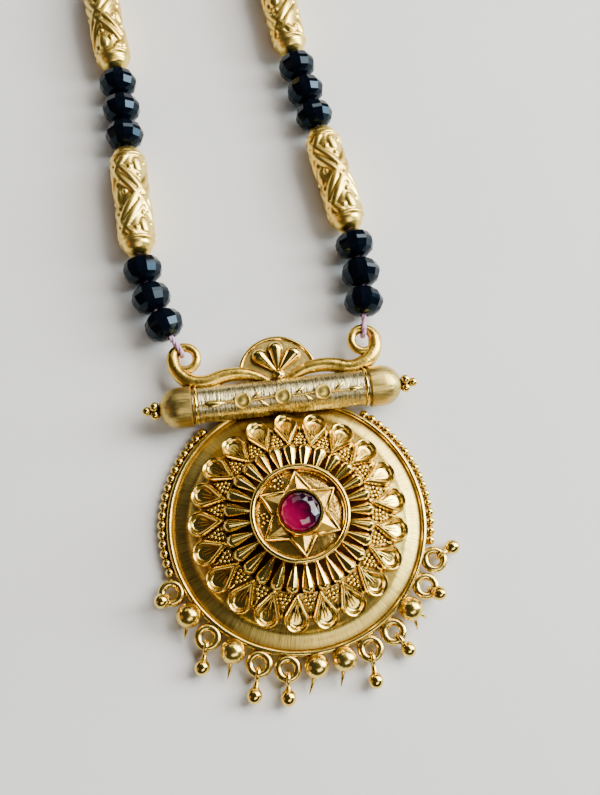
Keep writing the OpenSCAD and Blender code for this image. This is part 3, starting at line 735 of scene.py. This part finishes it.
body = turned([(0, -half), (tubeR, -half), (tubeR, half), (0, half)], 96)
settle("tube_body", lyingAlongX(body), tubeBrush)
skirt = half - 0.42  # the dome's straight rim reaches over the tube's end
domeR, domeZ = tube["dome"], half + tube["domeStraight"]
domeLine = [(0, skirt), (domeR - 0.26, skirt), (domeR, skirt + 0.2), (domeR, domeZ)]
domeLine += [(domeR * cos(a), domeZ + domeR * sin(a)) for a in np.linspace(0.1, pi / 2, 16)]
dome = lyingAlongX(turned(domeLine, 72))
settle("tube_domes", dome + dome.mirrored(), domeBrush)
grain, tipZ = tube["tipGrain"], domeZ + domeR
tipBall = ball(grain / 2, 18, 12)
ends = wireRing(tubeR * 2 - 0.06, tube["collarWire"], 72).moved(z=tube["collar"])
for turn in (30, 150, 270):
    ends += tipBall.moved(x=grain * 0.52, z=tipZ + grain * 0.42).moved(turn=turn)
ends = lyingAlongX(ends + tipBall.moved(z=tipZ + grain * 1.25))
settle("tube_collars_and_tips", ends + ends.mirrored(), polished)
studR = tube["stud"] / 2
studShape = turned([
    (0, -0.6), (studR - 0.1, -0.6), (studR - 0.02, 0.3), (studR, 0.42), (studR - 0.1, 0.52), (studR - 0.2, 0.5),
    (studR - 0.26, 0.34), (studR * 0.6, 0.30), (studR * 0.3, 0.36), (0, 0.42)], 40)
studs = total(studShape.moved(x * tube["studPitch"], 0, tubeR).moved(roll=lean) for x in (-1, 0, 1))
settle("tube_studs", studs.moved(y=tubeY, z=tubeZ), studGold, smooth=50)


def onTubeSurface(x, angle, height):  # a point over the tube, an angle round from its upper line
    reach, a = tubeR + height, radians(angle + lean)
    return (x, tubeY - reach * sin(a), tubeZ + reach * cos(a))


# A line along the tube with a spearhead at each end and small leaves beside it.
# Leaves: where each starts, its side, length and swell.
vine = {
    "end": 11.4, "wire": 0.19, "sway": 2.5, "waves": 0.9, "up": (0, 0.3, 1),
    "leaves": [(-11.4, 0, 3.2, 0.56), (9.6, 0, 2.0, 0.38), (-3.4, 1, 1.3, 0.2), (-4.3, -1, 1.2, 0.18),
               (2.0, -1, 1.2, 0.18), (3.2, 1, 1.3, 0.2), (7.8, -1, 1.2, 0.18)]}
steps = np.linspace(-vine["end"], vine["end"], 70)
line = [onTubeSurface(x, vine["sway"] * sin(x * vine["waves"]), 0.08) for x in steps]
vineShape = rod(line, vine["wire"], roundSection(8), vine["up"])
steps = np.linspace(0, 1, 9)
for x, side, length, swell in vine["leaves"]:
    line = [onTubeSurface(x + length * t, side * (4 + 20 * t), 0.1) for t in steps]
    radii = [0.08 + swell * sin(pi * t ** 0.8) for t in steps]
    vineShape += rod(line, radii, roundSection(8, 0.6), vine["up"])
settle("tube_vine", vineShape, wireGold, smooth=60)
print("tube ready")

# The scrolls: an arch out of the middle, an outer curl and the string ring that it ends in
scroll = {
    "z": 2.6, "arch": (6.55, 14.88), "archRadius": 8.0, "curl": (11.08, 26.1), "curlRadius": 4.1,
    "ring": (13.4, 26.1), "ringRadius": 1.78, "ringWire": 1.24,
    "radii": ([0, 8, 16, 26, 37, 44, 71], [0.55, 1.02, 1.14, 1.2, 1.04, 0.7, 0.62]),
    "solderRadii": ([0, 4, 10, 13], [0.3, 0.7, 0.66, 0.3])}
scrollZ = scroll["z"]
line = arc(scroll["arch"], scroll["archRadius"], 132, 69, 16, scrollZ)
line += arc(scroll["curl"], scroll["curlRadius"], -112, -12, 22, scrollZ)
line += arc(scroll["ring"], scroll["ringRadius"], 2, 334, 34, scrollZ)
scrollShape = rod(line, np.interp(range(72), *scroll["radii"]), roundSection(18))
line = arc(scroll["curl"], scroll["curlRadius"] + 0.8, -126, -66, 14, scrollZ - 0.1)
scrollShape += rod(line, np.interp(range(14), *scroll["solderRadii"]))
settle("scrolls", scrollShape + scrollShape.mirrored(), scrollGold, smooth=70)

fan = {"y": 22.2, "z": 1.7, "radius": 5.85, "thickness": 1.0, "wire": 0.6, "neck": 4.0, "neckEnd": -1.5,
       "petals": (-43, 0, 41), "swell": 1.2, "ball": 1.9}
neck, thickness = fan["neck"] / 2, fan["thickness"]
fanEdge = [(x, y) for x, y, z in arc((0, 0), fan["radius"] - 0.2, 0, 180, 60, 0)]
fanEdge += [(-neck, 0), (-neck, fan["neckEnd"]), (neck, fan["neckEnd"]), (neck, 0)]
fanPlate = rowsToShape([[(x, y, z) for x, y in fanEdge] for z in (0, thickness)])
fanPlate.faces[:0] = [tell(len(fanEdge)), tell(len(fanEdge), len(fanEdge))]
settle("fan_plate", fanPlate.moved(y=fan["y"], z=fan["z"]), ground)
fanShape = rod(arc((0, 0), fan["radius"] - 0.25, 2, 178, 60, thickness), fan["wire"] / 2)
steps = np.linspace(0, 1, 12)
for angle in fan["petals"]:
    line = [(0, 0.35 + 3.4 * t, thickness + 0.3 - 0.1 * t) for t in steps]
    radii = [0.14 + (fan["swell"] - 0.14) * t ** 0.9 for t in steps]
    fanShape += rod(line, radii, roundSection(18, 1.1)).moved(turn=angle)
fanBall = ball(fan["ball"] / 2, 24, 16).moved(y=tubeY + tubeR + 0.55, z=scrollZ + 0.95)
settle("fan_petals", fanShape.moved(y=fan["y"], z=fan["z"]) + fanBall, polished, smooth=85)
print("scrolls and fan ready")

# The fringe, left to right: R is a ring and B a ball. Tails: place, turn and length.
fringe = {
    "plan": "RBRBRRBBRRBRR", "step": 11.3, "ring": 2.7, "wire": 1.14, "ball": 3.4, "ringZ": 1.25, "solder": 0.35,
    "tails": [(1, 40, 1.4), (3, 16, 1.9), (6, -22, 2.1), (7, -26, 1.9), (10, -34, 1.2), (10, 10, 0.9)]}
ringR = edge + (fringe["ring"] + fringe["wire"]) / 2 - fringe["solder"]
fringeBall = fringe["ball"] / 2
ballR = edge + fringeBall - fringe["solder"]


def atFringe(shape, place):
    return shape.moved(turn=(place - (len(fringe["plan"]) - 1) / 2) * fringe["step"] - 90)


# A ball as cast by hand: slightly uneven, so that its highlight breaks up
def handBall(radius, seed, stretch=1.0, amount=0.02):
    shape = ball(radius, 32, 20, stretch)
    rng = np.random.default_rng(seed)
    for _ in range(5):
        way, phase = rng.normal(size=3) * 1.5 / radius, rng.uniform(0, 2 * pi)
        shape.points *= 1 + amount * np.sin(shape.points @ way + phase)[:, None] * 0.6
    return shape


fringeParts = {"R": [], "B": []}
for place, kind in enumerate(fringe["plan"]):
    if kind == "R":
        shape = wireRing(fringe["ring"], fringe["wire"], 40, 14).moved(x=ringR, z=fringe["ringZ"])
        joint = rod([(edge - 0.2, 0, 1.0), (edge + 0.4, 0, 1.1)], [0.75, 0.55])
    else:
        shape = handBall(fringeBall, place).moved(x=ballR, z=fringeBall + 0.04)
        joint = rod([(edge - 0.2, 0, 1.1), (edge + 0.5, 0, 1.4)], [0.8, 0.8])
    fringeParts[kind].append(atFringe(shape + joint, place))
for place, turn, length in fringe["tails"]:
    line = [(1.36, 0, 0), (fringeBall + length * 0.4, 0, -0.35), (fringeBall + length, 0, -1.02)]
    tail = rod(line, [0.32, 0.24, 0.07], roundSection(10)).moved(turn=turn).moved(x=ballR, z=fringeBall)
    fringeParts["B"].append(atFringe(tail, place))
settle("fringe_rings", total(fringeParts["R"]), handGold, smooth=60)
settle("fringe_balls", total(fringeParts["B"]), handGold, smooth=60)

# Drops: place in the fringe, turn of the hook, reach and lift of the ball in its own diameters
drop = {
    "ball": 2.16, "wire": 0.42, "inner": 0.53, "gap": 0.13, "stretch": 1.08, "collar": (0.62, 0.34),
    "plan": [(0, 18, -0.57, 1.42), (2, 28, 0.51, 0.52), (4, 7, 0.59, 0.52), (5, 5, 0.40, 0.52),
             (8, -22, 0.62, 0.52), (9, -1, 0.09, 0.52), (11, -13, -0.46, 1.42), (12, 49, 0.12, 0.52)]}
hookR = drop["inner"] + drop["gap"] + drop["wire"] / 2
hook = rod([(hookR * x, 0, hookR * z) for x, z in roundSection(28)], drop["wire"] / 2 + 0.09, roundSection(10),
           up=(0, 1, 0), closed=True)
for number, (place, turn, reach, lift) in enumerate(drop["plan"], 1):
    ballX = drop["inner"] + drop["ball"] * (0.5 + reach)
    ballZ = drop["ball"] * lift - fringe["ringZ"]
    way = np.array([0.4, 0, 1.0]) if ballZ > 1 else np.array([1.0, 0, 0])
    start = hookR * way / np.linalg.norm(way)
    lie = np.array([ballX, 0, ballZ]) - start
    line = [start, start + lie * 0.5, (ballX, 0, ballZ)]
    shape = hook + rod(line, [0.33, 0.42, 0.66], roundSection(10), up=(0, 1, 0))
    end = handBall(drop["ball"] / 2 - 0.02, 40 + number, drop["stretch"])
    end += wireRing(*drop["collar"], 20, 8).moved(z=-drop["ball"] * 0.53)
    shape += end.moved(tilt=np.degrees(np.arctan2(lie[0], lie[2]))).moved(x=ballX, z=ballZ)
    shape = shape.moved(x=fringe["ring"] / 2).moved(turn=turn).moved(x=ringR, z=fringe["ringZ"])
    settle(f"hooked_drop_{number}", atFringe(shape, place), polished, "gold", f"drop_{number}", smooth=60)
print("fringe and drops ready")

# The string. Its crystals are found in the frame, and everything else on it is set between them.
bead = {"length": 4.45, "sides": 12, "gap": 0.35, "bore": 0.6}
toCrystalEnd = (bead["length"] + bead["gap"]) / 2


def crystalPlaces(node):  # middles and axes of a string's crystals, from its ring outwards
    work = bmesh.new()
    work.from_mesh(node.data)
    bmesh.ops.remove_doubles(work, verts=work.verts, dist=0.000001)
    found, seen = [], set()
    for vert in work.verts:
        island, waiting = [], [vert]
        while waiting:
            here = waiting.pop()
            if here not in seen:
                seen.add(here)
                island.append(toDisc @ here.co)
                waiting += [link.other_vert(here) for link in here.link_edges]
        if island:
            middle = np.mean(island, axis=0)
            found.append((middle, np.linalg.eigh(np.cov((island - middle).T))[1][:, -1]))
    work.free()
    here, ordered = np.array([0.0, 20.0, 3.0]), []
    while found:
        nearest = min(range(len(found)), key=lambda i: np.linalg.norm(found[i][0] - here))
        middle, axis = found.pop(nearest)
        ordered.append((middle, axis if axis @ (middle - here) > 0 else -axis))
        here = middle
    return ordered


# A mesh of bare points, each with its own turn
def spots(places):
    mesh = bpy.data.meshes.new("spots")
    mesh.from_pydata([place for place, turn in places], [], [])
    turns = mesh.attributes.new("turn", "FLOAT_VECTOR", "POINT")
    for spot, (place, turn) in zip(turns.data, places):
        spot.vector = turn
    return mesh


# Rows of a crystal's lower half: radius, share of its half length, and a shift by half a facet
lowerRows = [(bead["bore"], -1, 0), (0.85, -1, 0), (1.72, -0.88, 0.5), (2.58, -0.58, 0), (3.0, -0.13, 0)]
crystalRows = [(r, z * way * bead["length"] / 2, shift)
               for way in (1, -1) for r, z, shift in lowerRows[::way]]
crystalShape = facetShape(crystalRows, bead["sides"], True)

# A barrel's ends: how far in from each end, and the share of its radius there
barrel = {
    "diameter": 5.8, "length": 18.5, "relief": 0.36, "around": 96, "along": 132, "pitch": 10.5,
    "ends": [(0.5, 0.74), (1.2, 0.9), (2.3, 1)], "mouth": 0.95, "collar": 0.3,
    "ridges": (-0.64, 0.64), "ridge": 0.6, "boss": (0.95, 1.4), "grain": 0.46, "grainHeight": 0.8,
    "grains": ((0, 2.0), (0, -2.0), (1.5, 0.5), (-1.5, -0.5), (0.75, 2.7), (-0.75, -2.7))}
barrelRound = pi * (barrel["diameter"] - barrel["relief"])


def roundTop(away):  # the height of a round ridge over a distance of 0 to 1
    return np.sqrt(np.maximum(0.0, 1 - away ** 2))


# The height of the relief: double bands that cross, and in each field between them a boss and grains
def barrelRelief(turns, z):
    height = 0 * turns
    slant = np.hypot(2 / barrelRound, 1 / barrel["pitch"])
    for way in (-1, 1):
        phase = turns * 2 + way * z / barrel["pitch"]
        away = (phase - np.round(phase)) / slant
        for ridge in barrel["ridges"]:
            height = np.maximum(height, roundTop((away - ridge) / barrel["ridge"]))
    for j in range(-1, 2):
        for k in range(j % 2 == 0, 4, 2):
            aside = ((turns - k / 4 + 0.5) % 1 - 0.5) * barrelRound
            along = z - j * barrel["pitch"] / 2
            height = np.maximum(height, roundTop(np.hypot(aside / barrel["boss"][0], along / barrel["boss"][1])))
            for x, y in barrel["grains"]:
                grainTop = roundTop(np.hypot(aside - x, along - y) / barrel["grain"])
                height = np.maximum(height, barrel["grainHeight"] * grainTop)
    return height


def barrelShape():
    halfLength, bodyR = barrel["length"] / 2, barrel["diameter"] / 2 - barrel["relief"]
    outline = [(0, barrel["mouth"])] + [(inwards, bodyR * share) for inwards, share in barrel["ends"]]
    heights, radii = zip(*((way * (z - halfLength), r) for way in (1, -1) for z, r in outline[::way]))
    reliefEnd = halfLength - barrel["ends"][-1][0]
    rows = []
    turns = np.arange(barrel["around"]) / barrel["around"]
    for z in np.linspace(-halfLength, halfLength, barrel["along"]):
        fade = min(1.0, max(0.0, (reliefEnd - abs(z)) / 0.5))
        collar = barrel["collar"] * max(0.0, 1 - ((abs(z) - reliefEnd - 0.25) / 0.35) ** 2)
        reach = np.interp(z, heights, radii) + collar + barrel["relief"] * fade * barrelRelief(turns, z)
        rows.append([(r * cos(2 * pi * turn), r * sin(2 * pi * turn), z) for r, turn in zip(reach, turns)])
    for z in (halfLength, -halfLength):
        rows.append([(bead["bore"] * cos(2 * pi * turn), bead["bore"] * sin(2 * pi * turn), z) for turn in turns])
    return rowsToShape(rows, True)


thread = {
    "radius": 0.4, "gap": 0.13, "Ply radius": 0.215, "Ply offset": 0.19, "Plies": 3, "Step": 0.22, "Twist": 0.42,
    "Finish": pinkThread}
claspEye = {"size": 4.0, "wire": 1.3}
eyeR = (claspEye["size"] + claspEye["wire"]) / 2
eyeZ = claspEye["wire"] / 2 + thread["gap"] + thread["radius"] * 2 + 0.05
claspLow, claspHigh = (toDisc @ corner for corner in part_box("clasp"))


# A turn of thread round a ring's wire, open towards the beads
def turnRound(middle, radius, wire, towards, z):
    head = np.array(towards[:2]) - middle
    head = head / np.linalg.norm(head)
    centre, reach = middle + head * radius, wire / 2 + thread["gap"] + thread["radius"]
    return [(centre[0] + head[0] * reach * cos(a), centre[1] + head[1] * reach * cos(a), z + reach * sin(a))
            for a in np.radians(np.arange(58, 347, 18))]


barrelSource = barrelShape()
crystalMesh = crystalShape.moved(tilt=90).mesh("crystal", 0)
spinRandom = np.random.default_rng(21)
for side, way, corner in (("left", -1, claspLow), ("right", 1, claspHigh)):
    places = crystalPlaces(nodes[f"crystals_{side}"])
    turns = [(tuple(middle), (spinRandom.uniform(0, 2 * pi), 0, np.arctan2(axis[1], axis[0])))
             for middle, axis in places]
    crystals = grow(pieceOnSpots, {"Piece": crystalMesh, "Finish": blackCrystal}, spots(turns))
    settle(f"crystal_string_{side}", crystals, blackCrystal, "black_crystal", f"crystals_{side}")
    joints = [places[0][0] - places[0][1] * toCrystalEnd]
    for i, (middle, axis) in enumerate(places, 1):
        joints.append(middle + axis * toCrystalEnd)
        if i % 3 == 0 and i < len(places):
            joints.append(places[i][0] - places[i][1] * toCrystalEnd)
            start, end = joints[-2:]
            heading = np.degrees(np.arctan2(end[1] - start[1], end[0] - start[0]))
            shape = barrelSource.moved(turn=spinRandom.uniform(0, 360)).moved(tilt=90)
            shape = shape.moved(*(start + end) / 2, turn=heading)
            name = f"barrel_{side}_{i // 3}"
            settle("cast_" + name, shape, reliefGold, "gold", name, smooth=70)

    # the thread turns round the string ring, runs through the beads and turns round the clasp's eye
    ringMiddle = np.array([way * scroll["ring"][0], scroll["ring"][1]])
    eyeMiddle = np.array([corner.x - way * eyeR, corner.y - way * eyeR])
    line = turnRound(ringMiddle, scroll["ringRadius"], scroll["ringWire"], joints[0], scrollZ)
    line += [tuple(joint) for joint in joints]
    line += turnRound(eyeMiddle, claspEye["size"] / 2, claspEye["wire"], joints[-1], eyeZ)[::-1]
    path = bpy.data.meshes.new("path")
    path.from_pydata(line, [(i, i + 1) for i in range(len(line) - 1)], [])
    plies = grow(twistedPlies, thread, path)
    plies.shade_smooth()
    settle(f"twisted_thread_{side}", plies, pinkThread, "thread", f"thread_{side}")

coat(nodes["clasp"].data, wireGold)
print("string ready")

# The floor and the light
surface = {"half": 3.0, "drop": 0.0002, "dark": (0.72, 0.70, 0.67), "pale": (0.78, 0.76, 0.73), "cloudScale": 30}
floorMesh = bpy.data.meshes.new("floor")
floorCorners = [(x * surface["half"], y * surface["half"], 0) for x, y in ((-1, -1), (1, -1), (1, 1), (-1, 1))]
floorMesh.from_pydata(floorCorners, [], [(0, 1, 2, 3)])
floor = newObject("floor", floorMesh)
floor.location.z = -surface["drop"]
floorFinish, floorTree, floorShader, floorPlace = newFinish("paleFloor", {"Roughness": 0.65})
floorCloud = noise(floorTree, floorPlace, surface["cloudScale"], 3)
vary(floorTree, floorShader, {"Base Color": floorTree.blend(floorCloud, surface["dark"], surface["pale"])})
coat(floorMesh, floorFinish)

# Each light's place and size in millimetres about the disc, its watts and its tint
lights = {
    "keySoftbox": ((750, 250, 625), (700, 800), 23.5, (1.0, 0.98, 0.94)),
    "windowStrip": ((825, 100, 300), (325, 550), 10.5, (0.62, 0.85, 1.0)),
    "overhead": ((475, 725, 825), (475, 475), 5.8, (1.0, 0.98, 0.95)),
    "lowerSoftbox": ((230, -560, 750), (640, 290), 2.8, (1.0, 0.96, 0.90)),
    "backSoftbox": ((-100, 750, 600), (550, 300), 0.6, (1.0, 0.98, 0.93)),
    "warmFill": ((-825, -100, 300), (400, 400), 0.3, (1.0, 0.5, 0.28))}
for name, (place, size, watts, tint) in lights.items():
    data = bpy.data.lights.new(name, "AREA")
    data.shape, data.size, data.size_y = "RECTANGLE", size[0] * mm, size[1] * mm
    data.energy, data.color = watts, tint
    lamp = newObject(name, data)
    lamp.location = inPlace @ Vector(place)
    lamp.rotation_euler = (discMiddle - lamp.location).to_track_quat("-Z", "Y").to_euler()
room = {"tint": (0.9, 0.93, 1.0, 1), "strength": 0.045}
world = bpy.data.worlds.new("softRoom")
scene.world = world
world.use_nodes = True
world.node_tree.nodes["Background"].inputs["Color"].default_value = room["tint"]
world.node_tree.nodes["Background"].inputs["Strength"].default_value = room["strength"]
print("floor and light ready")
